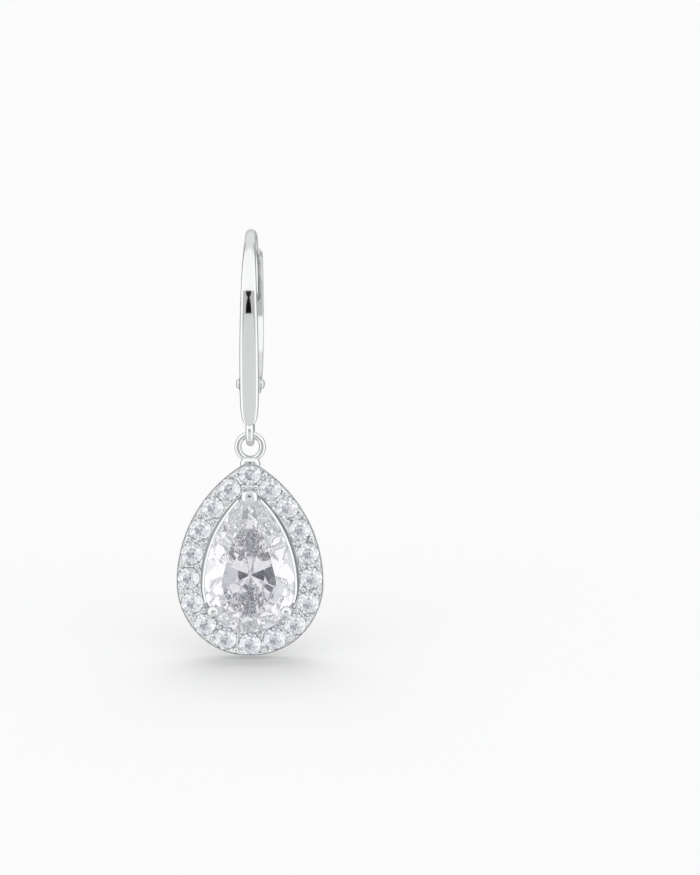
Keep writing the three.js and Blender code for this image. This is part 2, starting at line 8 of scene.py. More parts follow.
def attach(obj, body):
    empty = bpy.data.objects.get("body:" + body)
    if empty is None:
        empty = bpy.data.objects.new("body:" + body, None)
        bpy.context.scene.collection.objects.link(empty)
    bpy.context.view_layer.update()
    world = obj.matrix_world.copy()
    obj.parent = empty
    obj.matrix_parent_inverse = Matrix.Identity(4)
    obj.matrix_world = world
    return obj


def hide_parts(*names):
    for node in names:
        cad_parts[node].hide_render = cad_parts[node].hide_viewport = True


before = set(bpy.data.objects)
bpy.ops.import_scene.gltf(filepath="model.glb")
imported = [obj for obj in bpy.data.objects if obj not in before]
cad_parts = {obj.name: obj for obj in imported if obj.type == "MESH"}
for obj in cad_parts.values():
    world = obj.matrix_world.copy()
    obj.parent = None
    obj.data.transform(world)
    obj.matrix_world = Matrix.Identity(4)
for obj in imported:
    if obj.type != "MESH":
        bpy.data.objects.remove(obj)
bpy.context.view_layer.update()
MM = 0.001

# Camera
# A long lens on the middle of the photo's frame, 15 pixels of the 700 x 875
# picture to a millimetre, so the earring stands left of the middle.
camera_data = bpy.data.cameras.new("camera")
camera_data.lens = 150
camera_data.sensor_width = 36
camera_data.sensor_fit = "AUTO"
camera_data.clip_start = 0.01
camera_data.clip_end = 5
camera = bpy.data.objects.new("camera", camera_data)
bpy.context.scene.collection.objects.link(camera)
bpy.context.scene.camera = camera
aim = Vector((6.635, -2.2, -13.08)) * MM
camera_azimuth = math.radians(1.4)
camera_elevation = math.radians(2.0)
camera_distance = 0.2411
towards = Vector((math.sin(camera_azimuth) * math.cos(camera_elevation),
                  -math.cos(camera_azimuth) * math.cos(camera_elevation),
                  math.sin(camera_elevation)))
camera.location = aim + towards * camera_distance
camera.rotation_euler = (-towards).to_track_quat("-Z", "Y").to_euler()
bpy.context.scene.view_settings.view_transform = "Standard"
bpy.context.scene.cycles.transmission_bounces = 40
bpy.context.scene.cycles.glossy_bounces = 40
bpy.context.scene.cycles.max_bounces = 48
bpy.context.scene.cycles.sample_clamp_indirect = 6

# Floor and backdrop
# One sheet of white paper that rises gently behind the earring, so that the
# soft shadow under it shows as it does in the photo.
floor_height = -27.42 * MM
floor_slope, floor_half_width = math.radians(13), 1.2
sweep = bpy.data.meshes.new("sweep")
profile = [(y, y * math.tan(floor_slope)) for y in (-0.6, -0.2, 0.2, 0.6, 1.0)]
verts = [(x, y, floor_height + z) for y, z in profile for x in (-floor_half_width, floor_half_width)]
faces = [(2 * i, 2 * i + 1, 2 * i + 3, 2 * i + 2) for i in range(len(profile) - 1)]
sweep.from_pydata(verts, [], faces)
for polygon in sweep.polygons:
    polygon.use_smooth = True
sweep_object = bpy.data.objects.new("sweep", sweep)
bpy.context.scene.collection.objects.link(sweep_object)
paper = bpy.data.materials.new("paper")
paper.use_nodes = True
nodes, links = paper.node_tree.nodes, paper.node_tree.links
shader = nodes["Principled BSDF"]
shader.inputs["Roughness"].default_value = 0.9
shader.inputs["Specular IOR Level"].default_value = 0.0
where = nodes.new("ShaderNodeTexCoord")
grain = nodes.new("ShaderNodeTexNoise")
grain.inputs["Scale"].default_value = 900
links.new(where.outputs["Object"], grain.inputs["Vector"])
tone = nodes.new("ShaderNodeValToRGB")
tone.color_ramp.elements[0].color = (0.955, 0.955, 0.955, 1)
tone.color_ramp.elements[1].color = (0.965, 0.965, 0.965, 1)
links.new(grain.outputs["Fac"], tone.inputs["Fac"])
links.new(tone.outputs["Color"], shader.inputs["Base Color"])
sweep.materials.append(paper)
sweep_object.visible_glossy = False
sweep_object.visible_transmission = False

# Studio light
# A white tent, drawn as a world. Metal mirrors its walls, the stones show its
# panels and dark cards, and a soft lamp overhead lights the paper.
world = bpy.data.worlds.new("tent")
bpy.context.scene.world = world
world.use_nodes = True
nodes, links = world.node_tree.nodes, world.node_tree.links
nodes.clear()
out = nodes.new("ShaderNodeOutputWorld")
background = nodes.new("ShaderNodeBackground")
links.new(background.outputs[0], out.inputs[0])
ray = nodes.new("ShaderNodeLightPath")
direction = nodes.new("ShaderNodeTexCoord")


def maths(tree, kind, a, b=None, c=None, clamp=False):
    node = tree.nodes.new("ShaderNodeMath")
    node.operation = kind
    node.use_clamp = clamp
    for socket, value in zip(node.inputs, (a, b, c)):
        if value is None:
            continue
        if isinstance(value, (int, float)):
            socket.default_value = value
        else:
            tree.links.new(value, socket)
    return node.outputs[0]


def ramp(tree, value, low, high, to_low=0.0, to_high=1.0, kind="SMOOTHSTEP"):
    node = tree.nodes.new("ShaderNodeMapRange")
    node.interpolation_type = kind
    tree.links.new(value, node.inputs["Value"])
    node.inputs["From Min"].default_value = low
    node.inputs["From Max"].default_value = high
    node.inputs["To Min"].default_value = to_low
    node.inputs["To Max"].default_value = to_high
    return node.outputs["Result"]


tree = world.node_tree
split = nodes.new("ShaderNodeSeparateXYZ")
links.new(direction.outputs["Generated"], split.inputs[0])
x, y, z = split.outputs
near = nodes.new("ShaderNodeVectorMath")
near.operation = "DOT_PRODUCT"
near.inputs[1].default_value = towards
links.new(direction.outputs["Generated"], near.inputs[0])
facing = near.outputs["Value"]
side = maths(tree, "ABSOLUTE", x)
# Metal mirrors a grey floor, a greyer wall, a bright roof and white flanks
wall_foot, wall_top, in_front = (-0.205, -0.18), (0.205, 0.24), (-0.3, -0.1)
floor_level, wall_level, roof_front, roof_back = 0.87, 0.62, 1.22, 0.94
flank_from, flank_front, flank_rear, rear_level = (0.55, 0.7), 1.3, 0.38, 0.7
low = ramp(tree, z, *wall_foot)
high = ramp(tree, z, *wall_top)
floor_part = ramp(tree, low, 0.0, 1.0, floor_level, 0.0)
band_part = maths(tree, "MULTIPLY", low, ramp(tree, high, 0.0, 1.0, wall_level, 0.0))
top_part = maths(tree, "MULTIPLY", high, ramp(tree, y, *in_front, roof_front, roof_back))
tent_part = maths(tree, "ADD", maths(tree, "ADD", floor_part, band_part), top_part)
flank = ramp(tree, side, *flank_from)
flank_back = ramp(tree, y, 0.05, 0.45, flank_front, flank_rear)
mirrored = tree.nodes.new("ShaderNodeMix")
mirrored.data_type = "FLOAT"
links.new(flank, mirrored.inputs[0])
links.new(tent_part, mirrored.inputs[2])
links.new(flank_back, mirrored.inputs[3])
mirrored = maths(tree, "MULTIPLY", mirrored.outputs[0], ramp(tree, y, 0.6, 0.98, 1.0, rear_level))
# In the wall is a dark slit, narrow at its waist and wider above and below
slit_x, waist_height, waist_width, slit_level = -0.052, 0.09, 0.026, 0.012
flare_up, flare_down = 0.66, 0.22
waist = maths(tree, "SUBTRACT", z, waist_height)
flare = maths(tree, "MAXIMUM", maths(tree, "MULTIPLY", waist, flare_up),
              maths(tree, "MULTIPLY", waist, -flare_down))
wide = maths(tree, "ADD", waist_width, flare)
across = maths(tree, "DIVIDE", maths(tree, "ABSOLUTE", maths(tree, "SUBTRACT", x, slit_x)), wide)
slit = ramp(tree, across, 0.88, 1.06)
tall = maths(tree, "MAXIMUM", high, ramp(tree, low, 0.0, 1.0, 1.0, 0.0))
behind = ramp(tree, y, *in_front)
keep = maths(tree, "MAXIMUM", maths(tree, "MAXIMUM", slit, tall), behind)
mirrored = maths(tree, "MULTIPLY", mirrored, ramp(tree, keep, 0.0, 1.0, slit_level, 1.0, "LINEAR"))
# The stones show uneven panels, a gap at the camera and a dark card on each side
camera_gap, gap_level = (0.97, 0.992), 0.5
panel_scale, panel_dim, panel_bright = 2.4, 0.68, 1.06
card_inner, card_outer, card_height, card_level = (0.5, 0.53), (0.9, 0.93), (0.36, 0.4), 0.2
stone_gap = ramp(tree, facing, *camera_gap, 1.0, gap_level)
panels = nodes.new("ShaderNodeTexVoronoi")
panels.inputs["Scale"].default_value = panel_scale
links.new(direction.outputs["Generated"], panels.inputs["Vector"])
patch = nodes.new("ShaderNodeSeparateColor")
links.new(panels.outputs["Color"], patch.inputs[0])
sparkle = ramp(tree, patch.outputs[0], 0.1, 0.6, panel_dim, panel_bright)
card = maths(tree, "MULTIPLY", ramp(tree, side, *card_inner), ramp(tree, side, *card_outer, 1.0, 0.0))
card = maths(tree, "MULTIPLY", card, ramp(tree, maths(tree, "ABSOLUTE", z), *card_height, 1.0, 0.0))
card = maths(tree, "MULTIPLY", card, ramp(tree, y, -0.2, 0.0, 1.0, 0.0))
through = maths(tree, "MULTIPLY", sparkle, stone_gap)
through = maths(tree, "MULTIPLY", through, ramp(tree, card, 0.0, 1.0, 1.0, card_level))
level = tree.nodes.new("ShaderNodeMix")
level.data_type = "FLOAT"
links.new(ray.outputs["Is Transmission Ray"], level.inputs[0])
links.new(mirrored, level.inputs[2])
links.new(through, level.inputs[3])
# The paper is lit by a soft lamp nearly overhead and by the tent round it
lamp_towards, lamp_edge, tent_level, lamp_level = (-0.05, 0.28, 0.95), (0.84, 0.98), 0.73, 2.28
soft = tree.nodes.new("ShaderNodeMix")
soft.data_type = "FLOAT"
overhead = nodes.new("ShaderNodeVectorMath")
overhead.operation = "DOT_PRODUCT"
overhead.inputs[1].default_value = Vector(lamp_towards).normalized()
links.new(direction.outputs["Generated"], overhead.inputs[0])
key = ramp(tree, overhead.outputs["Value"], *lamp_edge, tent_level, lamp_level)
plain = maths(tree, "MAXIMUM", ray.outputs["Is Diffuse Ray"], ray.outputs["Is Camera Ray"])
links.new(plain, soft.inputs[0])
links.new(level.outputs[0], soft.inputs[2])
links.new(key, soft.inputs[3])
links.new(soft.outputs[0], background.inputs["Strength"])
tent_white, stone_shade, stone_white = (0.99, 1.0, 0.995, 1), (0.78, 0.83, 0.96, 1), (0.975, 0.975, 1.0, 1)
cool = nodes.new("ShaderNodeMix")
cool.data_type = "RGBA"
cool.inputs[6].default_value = tent_white
shade = nodes.new("ShaderNodeValToRGB")
shade.color_ramp.elements[0].position = 0.15
shade.color_ramp.elements[0].color = stone_shade
shade.color_ramp.elements[1].position = 0.95
shade.color_ramp.elements[1].color = stone_white
links.new(through, shade.inputs["Fac"])
links.new(shade.outputs["Color"], cool.inputs[7])
links.new(ray.outputs["Is Transmission Ray"], cool.inputs[0])
links.new(cool.outputs[2], background.inputs["Color"])


# White gold
# Polished and rhodium-plated: a mirror with faint polishing lines, a little
# wear and hardly any colour.
polish = bpy.data.node_groups.new("polish", "ShaderNodeTree")
polish.interface.new_socket("Scale", in_out="INPUT", socket_type="NodeSocketFloat")
polish.interface.new_socket("Dull", in_out="INPUT", socket_type="NodeSocketFloat")
polish.interface.new_socket("Color", in_out="OUTPUT", socket_type="NodeSocketColor")
polish.interface.new_socket("Roughness", in_out="OUTPUT", socket_type="NodeSocketFloat")
polish.interface.new_socket("Height", in_out="OUTPUT", socket_type="NodeSocketFloat")
group_in = polish.nodes.new("NodeGroupInput")
group_out = polish.nodes.new("NodeGroupOutput")
coords = polish.nodes.new("ShaderNodeTexCoord")
haze = polish.nodes.new("ShaderNodeTexNoise")
haze.inputs["Detail"].default_value = 4
polish.links.new(coords.outputs["Object"], haze.inputs["Vector"])
polish.links.new(group_in.outputs["Scale"], haze.inputs["Scale"])
lines = polish.nodes.new("ShaderNodeTexNoise")
lines.inputs["Detail"].default_value = 6
stretch = polish.nodes.new("ShaderNodeMapping")
stretch.inputs["Scale"].default_value = (9000, 9000, 700)
polish.links.new(coords.outputs["Object"], stretch.inputs["Vector"])
polish.links.new(stretch.outputs[0], lines.inputs["Vector"])
lines.inputs["Scale"].default_value = 1
tint = polish.nodes.new("ShaderNodeValToRGB")
tint.color_ramp.elements[0].position = 0.3
tint.color_ramp.elements[0].color = (0.74, 0.745, 0.755, 1)
tint.color_ramp.elements[1].position = 0.7
tint.color_ramp.elements[1].color = (0.775, 0.778, 0.785, 1)
polish.links.new(haze.outputs["Fac"], tint.inputs["Fac"])
polish.links.new(tint.outputs["Color"], group_out.inputs["Color"])
polish.links.new(maths(polish, "ADD", ramp(polish, haze.outputs["Fac"], 0.3, 0.75, 0.035, 0.085),
                       group_in.outputs["Dull"]), group_out.inputs["Roughness"])
polish.links.new(lines.outputs["Fac"], group_out.inputs["Height"])


def gold(name, haze_scale, line_depth, dull=0.0, cuts=0.0):
    """Gold with a haze and fine lines; dull adds roughness, and cuts is the depth of graver marks."""
    material = bpy.data.materials.new(name)
    material.use_nodes = True
    tree = material.node_tree
    shader = tree.nodes["Principled BSDF"]
    shader.inputs["Metallic"].default_value = 1
    shader.inputs["IOR"].default_value = 1.5
    surface = tree.nodes.new("ShaderNodeGroup")
    surface.node_tree = polish
    surface.inputs["Scale"].default_value = haze_scale
    surface.inputs["Dull"].default_value = dull
    bump = tree.nodes.new("ShaderNodeBump")
    bump.inputs["Strength"].default_value = 0.12
    bump.inputs["Distance"].default_value = line_depth
    tree.links.new(surface.outputs["Color"], shader.inputs["Base Color"])
    tree.links.new(surface.outputs["Roughness"], shader.inputs["Roughness"])
    tree.links.new(surface.outputs["Height"], bump.inputs["Height"])
    tree.links.new(bump.outputs[0], shader.inputs["Normal"])
    if cuts:
        place = tree.nodes.new("ShaderNodeTexCoord")
        cut = tree.nodes.new("ShaderNodeTexVoronoi")
        cut.inputs["Scale"].default_value = 4200
        graver = tree.nodes.new("ShaderNodeBump")
        graver.inputs["Distance"].default_value = cuts
        tree.links.new(place.outputs["Object"], cut.inputs["Vector"])
        tree.links.new(cut.outputs["Distance"], graver.inputs["Height"])
        tree.links.new(graver.outputs[0], bump.inputs["Normal"])
    return material


wire_gold = gold("wire_gold", 420, 2e-6)
cast_gold = gold("cast_gold", 800, 3e-6)
cut_gold = gold("cut_gold", 800, 3e-6, dull=0.05, cuts=2e-4)


def add_mesh(name, verts, faces, material, angle=40):
    """A closed mesh in millimetres, smooth except over sharp edges."""
    mesh = bpy.data.meshes.new(name)
    mesh.from_pydata([Vector(v) * MM for v in verts], [], faces)
    mesh.validate()
    shell = bmesh.new()
    shell.from_mesh(mesh)
    bmesh.ops.recalc_face_normals(shell, faces=shell.faces)
    shell.to_mesh(mesh)
    shell.free()
    mesh.shade_smooth()
    mesh.set_sharp_from_angle(angle=math.radians(angle))
    mesh.materials.append(material)
    piece = bpy.data.objects.new(name, mesh)
    bpy.context.scene.collection.objects.link(piece)
    return piece


def skin(rings, looped=False):
    """Vertices and faces over rings of points, with end caps unless looped."""
    count = len(rings[0])
    verts = [p for ring in rings for p in ring]
    faces = []
    for r in range(len(rings) if looped else len(rings) - 1):
        a, b = r * count, ((r + 1) % len(rings)) * count
        for i in range(count):
            j = (i + 1) % count
            faces.append((a + i, a + j, b + j, b + i))
    if not looped:
        faces.append(tuple(range(count)))
        faces.append(tuple((len(rings) - 1) * count + i for i in range(count)))
    return verts, faces


def joined(*parts):
    verts, faces = [], []
    for part_verts, part_faces in parts:
        base = len(verts)
        verts += part_verts
        faces += [tuple(base + i for i in face) for face in part_faces]
    return verts, faces


def turned(profile, centre, axis, segments):
    """A profile of (radius, along) pairs turned about an axis; it starts and ends on it."""
    axis = Vector(axis).normalized()
    u = axis.orthogonal().normalized()
    v = axis.cross(u)
    centre = Vector(centre)
    verts = [centre + axis * profile[0][1]]
    for radius, along in profile[1:-1]:
        for i in range(segments):
            turn = 2 * math.pi * i / segments
            verts.append(centre + axis * along + (u * math.cos(turn) + v * math.sin(turn)) * radius)
    verts.append(centre + axis * profile[-1][1])
    faces = []
    for i in range(segments):
        faces.append((0, 1 + (i + 1) % segments, 1 + i))
    for r in range(len(profile) - 3):
        a, b = 1 + r * segments, 1 + (r + 1) * segments
        for i in range(segments):
            j = (i + 1) % segments
            faces.append((a + i, a + j, b + j, b + i))
    last = 1 + (len(profile) - 3) * segments
    for i in range(segments):
        faces.append((last + i, last + (i + 1) % segments, len(verts) - 1))
    return verts, faces


def torus(centre, axis, radius, wire, around, across):
    axis = Vector(axis).normalized()
    u = axis.orthogonal().normalized()
    v = axis.cross(u)
    rings = []
    for i in range(around):
        turn = 2 * math.pi * i / around
        out = u * math.cos(turn) + v * math.sin(turn)
        middle = Vector(centre) + out * radius
        rings.append([middle + (out * math.cos(s) + axis * math.sin(s)) * wire
                      for s in (2 * math.pi * k / across for k in range(across))])
    return skin(rings, looped=True)


# Ear wire
# One length of gold wire bent over the crown, its front rolled flat and
# tapered to a shield, with an eye turned at the foot and a lug soldered on.
def run_along(points):
    """Points evenly spaced on a line of side-view points, with the way outward."""
    lengths = [0.0]
    for a, b in zip(points, points[1:]):
        lengths.append(lengths[-1] + (b - a).length)

    def at(s):
        s = min(max(s, 0), lengths[-1])
        k = next((i for i in range(1, len(lengths)) if lengths[i] >= s), len(lengths) - 1)
        t = (s - lengths[k - 1]) / max(lengths[k] - lengths[k - 1], 1e-9)
        point = points[k - 1].lerp(points[k], t)
        low, high = max(k - 2, 0), min(k + 1, len(points) - 1)
        along = (points[high] - points[low]).normalized()
        return point, Vector((-along.y, along.x))

    return at, lengths[-1]


def arc(cy, cz, ry, rz, start, end, steps):
    return [Vector((cy + ry * math.cos(start + (end - start) * i / steps),
                    cz + rz * math.sin(start + (end - start) * i / steps))) for i in range(steps + 1)]


lean = math.radians(6)
tail_depth, tail_foot, back_centre, back_rise = 3.4, -3.75, -3, 3.375
front_middle, front_centre, front_rise = 3.225, -4.05, 4.425
bend_radius, foot_height = 7.5, -12.2
bend_centre = bend_radius - front_middle
bend_end = Vector((bend_centre - bend_radius * math.cos(lean), front_centre - bend_radius * math.sin(lean)))
foot_drop = bend_end.y - foot_height
wire_line = [Vector((tail_depth, tail_foot + (back_centre - tail_foot) * i / 10)) for i in range(10)]
wire_line += arc(0, back_centre, tail_depth, back_rise, 0, math.pi / 2, 70)
crown_index = len(wire_line) - 1
wire_line += arc(0, front_centre, front_middle, front_rise, math.pi / 2, math.pi, 80)[1:]
wire_line += arc(bend_centre, front_centre, bend_radius, bend_radius, math.pi, math.pi + lean, 10)[1:]
wire_line += [bend_end + Vector((foot_drop * math.tan(lean), -foot_drop)) * (i / 60) for i in range(1, 61)]
wire_at, wire_length = run_along(wire_line)
crown_at = sum((b - a).length for a, b in zip(wire_line[:crown_index], wire_line[1:crown_index + 1]))
wire_width, wire_thickness, tail_width, tail_thickness = 0.73, 0.716, 0.66, 0.6
shield_widen, shield_thicken, shield_crown = 0.54, 0.095, 2.6
taper_from, shield_run, foot_from, tail_round, foot_run = 1.5, 9.1, 10.6, 0.4, 1.4


def wire_size(s):
    """Width, thickness and squareness of the wire's section, s along it from the tail."""
    run = s - crown_at
    if run < 0:
        back = min(1, max(0, (-run - taper_from) / 2))
        left = s / tail_round
        end = math.sqrt(max(0.0, 1 - (1 - left) ** 2)) if left < 1 else 1
        return ((wire_width + (tail_width - wire_width) * back) * end,
                (wire_thickness + (tail_thickness - wire_thickness) * back) * end, 2.0)
    grow = min(1, max(0, (run - taper_from) / shield_run))
    swell = math.sin(grow * math.pi / 2)
    foot = max(0, (run - foot_from) / (wire_length - crown_at - foot_from)) * 0.992
    return ((wire_width + shield_widen * swell) * (1 - foot ** 4) ** 0.25,
            (wire_thickness + shield_thicken * swell) * (1 - foot ** 8) ** 0.125,
            2 + 1.6 * min(1, 3 * grow))


stops = [0.004, 0.02, 0.05, 0.1, 0.16, 0.23, 0.31]
s = tail_round
while s < wire_length - foot_run:
    stops.append(s)
    s += 0.07
stops += [wire_length - foot_run * (1 - i / 40) ** 1.6 for i in range(41)]
wire_rings = []
for s in stops:
    middle, outward = wire_at(s)
    width, thickness, square = wire_size(s)
    ring = []
    for k in range(64):
        turn = 2 * math.pi * k / 64
        c, d = math.cos(turn), math.sin(turn)
        across = math.copysign(abs(c) ** (2 / square), c) * width / 2
        out = math.copysign(abs(d) ** (2 / square), d) * thickness / 2
        if out > 0 and square > 2.05:
            out -= across ** 2 / shield_crown * min(1, (square - 2.05) * 2)
        ring.append((across, middle.x + outward.x * out, middle.y + outward.y * out))
    wire_rings.append(ring)

hinge_y, hinge_z, lug_radius = -1.35, -9.56, 0.6
lug_outline = [(-2.83, -8.7), (-1.5, -8.96)]
lug_outline += [(hinge_y + lug_radius * math.cos(t), hinge_z + lug_radius * math.sin(t))
                for t in (math.pi / 2 - math.pi * i / 24 for i in range(25))]
lug_outline += [(-2.68, -10.35)]
lug_rings = []
for x, draw in ((-0.42, 0.05), (-0.37, 0.0), (0.37, 0.0), (0.42, 0.05)):
    lug_rings.append([(x, -1.9 + (py + 1.9) * (1 - draw / 1.2), hinge_z + (pz - hinge_z) * (1 - draw / 0.9))
                      for py, pz in lug_outline])
eye_radius, eye_wire, link_depth, eye_height = 0.775, 0.275, -1.6, -12.65
ear_wire = add_mesh("ear_wire_polished", *joined(
    skin(wire_rings),
    torus((0, link_depth, eye_height), (1, 0, 0), eye_radius, eye_wire, 72, 28),
    skin(lug_rings)), wire_gold, 50)
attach(ear_wire, "ear_wire")
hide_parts("ear_wire")

# Rivet
# A gold pin through the cheeks and the lug, hammered to a dome at each end.
head_radius, head_foot, head_rise, pin_radius = 0.355, 0.77, 0.185, 0.2
rivet_profile = [(0.0, -head_foot - head_rise)]
for i in range(1, 10):
    turn = math.pi / 2 * i / 9
    rivet_profile.append((head_radius * math.sin(turn) ** 0.9, -head_foot - head_rise * math.cos(turn)))
rivet_profile += [(0.35, -0.735), (pin_radius, -0.73), (pin_radius, 0.73), (0.35, 0.735)]
rivet_profile += [(r, -along) for r, along in reversed(rivet_profile[1:10])]
rivet_profile += [(0.0, head_foot + head_rise)]
rivet = add_mesh("rivet_domed", *turned(rivet_profile, (0, hinge_y, hinge_z), (1, 0, 0), 40), wire_gold, 40)
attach(rivet, "ear_wire")
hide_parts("rivet")

# Lever
# A bent strip with a slot milled in its front for the tail; below it parts
# into two cheeks that take the rivet.
lever_depth, lever_rise, lever_top, lever_straight = 3.65, 3.625, -0.65, 1.3
tip_round, tip_half, strip_half, strip_widen = 0.55, 0.26, 0.6, 0.11
strip_thickness, strip_thin, edge_round, edge_lip = 0.7, 0.2, 0.07, 0.05
slot_half, slot_depth, slot_below, slot_break = 0.46, 0.27, 1.1, 0.02
lever_start = math.asin((lever_top - back_centre) / lever_rise)
lever_line = arc(0, back_centre, lever_depth, lever_rise, lever_start, 0, 60)
lever_line += [Vector((lever_depth, back_centre - lever_straight * i / 20)) for i in range(1, 21)]
p0, p1 = Vector((lever_depth, -4.3)), Vector((lever_depth, -7.6))
p2, p3 = Vector((1.6, -9.1)), Vector((hinge_y, hinge_z))
for i in range(1, 101):
    t = i / 100
    lever_line.append(p0 * (1 - t) ** 3 + p1 * 3 * t * (1 - t) ** 2 + p2 * 3 * t * t * (1 - t) + p3 * t ** 3)
lever_at, lever_length = run_along(lever_line)
slot_end_at = sum((b - a).length for a, b in zip(lever_line[:60], lever_line[1:61])) + slot_below
lever_stop = lever_length - 0.95
stops = [tip_round * (1 - math.cos(math.pi / 2 * i / 14)) for i in range(15)]
s = 0.6
while s < lever_stop:
    stops.append(s)
    s += 0.06
stops.append(lever_stop)
stops += [slot_end_at - slot_half * (1 - math.sin(math.pi / 2 * i / 16)) for i in range(17)]
lever_rings = []
for s in sorted(set(stops)):
    middle, outward = lever_at(s)
    down = s / lever_length
    tip = min(1, s / tip_round)
    wide = tip_half + (strip_half + strip_widen * down - tip_half) * math.sqrt(1 - (1 - tip) ** 2)
    t = (strip_thickness - strip_thin * max(0, (down - 0.4) / 0.6)) / 2
    inner = slot_half
    left = slot_end_at - s
    if left < slot_half:
        inner = math.sqrt(max(0.0, slot_half ** 2 - (slot_half - max(left, 0)) ** 2))
    inner = max(min(inner, wide - 0.03), 0.0)
    depth = strip_thickness / 2 - slot_depth if left > 0 else -t + 0.001
    lip = min(edge_lip, (wide - inner) / 2)
    half = []
    for k in range(5):
        turn = math.pi / 2 * k / 4
        half.append((wide - edge_round + edge_round * math.sin(turn),
                     t - edge_round + edge_round * math.cos(turn)))
    for k in range(4):
        turn = math.pi / 2 * k / 3
        half.append((wide - lip + lip * math.cos(turn), -t + lip - lip * math.sin(turn)))
    half.append((inner + min(slot_break, (wide - inner) / 3), -t))
    half.append((inner, -t + slot_break))
    half.append((inner, depth))
    half.append((max(inner - 0.03, 0) * 0.5, depth))
    ring = half + [(-a, o) for a, o in reversed(half)]
    lever_rings.append([(a, middle.x + outward.x * o, middle.y + outward.y * o) for a, o in ring])
cheek_radius, cheek_neck = 0.62, 0.25
circle = []
for k in range(33):
    turn = math.radians(70) + math.radians(250) * k / 32
    circle.append((hinge_y + cheek_radius * math.cos(turn), hinge_z + cheek_radius * math.sin(turn)))
upper = [lever_at(lever_length - 1.2 + 0.1 * k) for k in range(4)]
top = [(m.x - o.x * cheek_neck, m.y - o.y * cheek_neck) for m, o in upper]
bottom = [(m.x + o.x * cheek_neck, m.y + o.y * cheek_neck) for m, o in upper]
outline = top + circle + bottom[::-1] if top[0][1] > bottom[0][1] else bottom + circle + top[::-1]
cheek_parts = []
for hand in (-1, 1):
    rings = []
    for x, draw in ((0.46, 0.03), (0.48, 0), (0.67, 0), (0.71, 0.05)):
        rings.append([(hand * x, -0.9 + (py + 0.9) * (1 - draw), -9.5 + (pz + 9.5) * (1 - draw))
                      for py, pz in outline])
    cheek_parts.append(skin(rings))
lever = add_mesh("lever_strip", *joined(skin(lever_rings), *cheek_parts), wire_gold, 35)
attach(lever, "lever")
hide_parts("lever")


# Halo plate
# A cast pear-shaped plate with a rounded bright rim and eighteen drilled
# seats for the small stones.
halo_shape = (4.9, 9.2, -22.717)
stone_shape = (2.98, 8.17, -22.983)
face_at = -2.1


def pear_point(shape, inset, where):
    """A point of an inset pear outline; where is 0 at the tip, 1 at the widest and 2 at the foot."""
    round_end, side, centre = shape
    beyond, large, small = side - round_end, side - inset, round_end - inset
    hand = -1 if where < 0 else 1
    w = abs(where)
    if w <= 1:
        turn = math.acos(beyond / large) * (1 - w)
        return Vector((hand * (large * math.cos(turn) - beyond), centre + large * math.sin(turn)))
    turn = -(w - 1) * math.pi / 2
    return Vector((hand * small * math.cos(turn), centre + small * math.sin(turn)))


def pear_outward(shape, inset, where):
    """The way outward from pear_point."""
    if where == 0:
        return Vector((0, 1))
    round_end, side, _ = shape
    tip = math.acos((side - round_end) / (side - inset))
    w = abs(where)
    turn = tip * (1 - w) if w <= 1 else -(w - 1) * math.pi / 2
    return Vector((math.copysign(math.cos(turn), where), math.sin(turn)))


def pear_places(side_steps, round_steps):
    right = [i / side_steps for i in range(side_steps)]
    right += [1 + i / round_steps for i in range(round_steps + 1)]
    return right + [-w for w in reversed(right[1:-1])]


def even_places(shape, inset, count):
    """Places for pear_point at equal distances along the outline."""
    round_end, side, _ = shape
    tip = math.acos((side - round_end) / (side - inset))
    side_run, round_run = tip * (side - inset), math.pi / 2 * (round_end - inset)
    pitch = 2 * (side_run + round_run) / count
    places = []
    for i in range(count):
        hand = -1 if i > count / 2 else 1
        run = pitch * (i if hand > 0 else count - i)
        places.append(hand * (run / side_run if run < side_run else 1 + (run - side_run) / round_run))
    return places


def pear_band(shape, section, side_steps=90, round_steps=90):
    places = pear_places(side_steps, round_steps)
    rings = []
    for inset, back in section:
        points = [pear_point(shape, inset, w) for w in places]
        rings.append([(p.x, face_at + back, p.y) for p in points])
    return skin(rings, looped=True)


def rounded(section, radius, steps=4):
    """A closed section with its corners rounded."""
    out = []
    for i, corner in enumerate(section):
        corner = Vector(corner)
        before = (Vector(section[i - 1]) - corner)
        after = (Vector(section[(i + 1) % len(section)]) - corner)
        r = min(radius, before.length * 0.45, after.length * 0.45)
        a, b = corner + before.normalized() * r, corner + after.normalized() * r
        for k in range(steps + 1):
            t = k / steps
            out.append(a * (1 - t) ** 2 + corner * 2 * t * (1 - t) + b * t * t)
    return [(p.x, p.y) for p in out]


def mesh_result(piece, name):
    """The piece with its modifiers applied, as a plain mesh."""
    mesh = bpy.data.meshes.new_from_object(piece.evaluated_get(bpy.context.evaluated_depsgraph_get()))
    mesh.name = name
    piece.modifiers.clear()
    old = piece.data
    piece.data = mesh
    bpy.data.meshes.remove(old)
    return piece


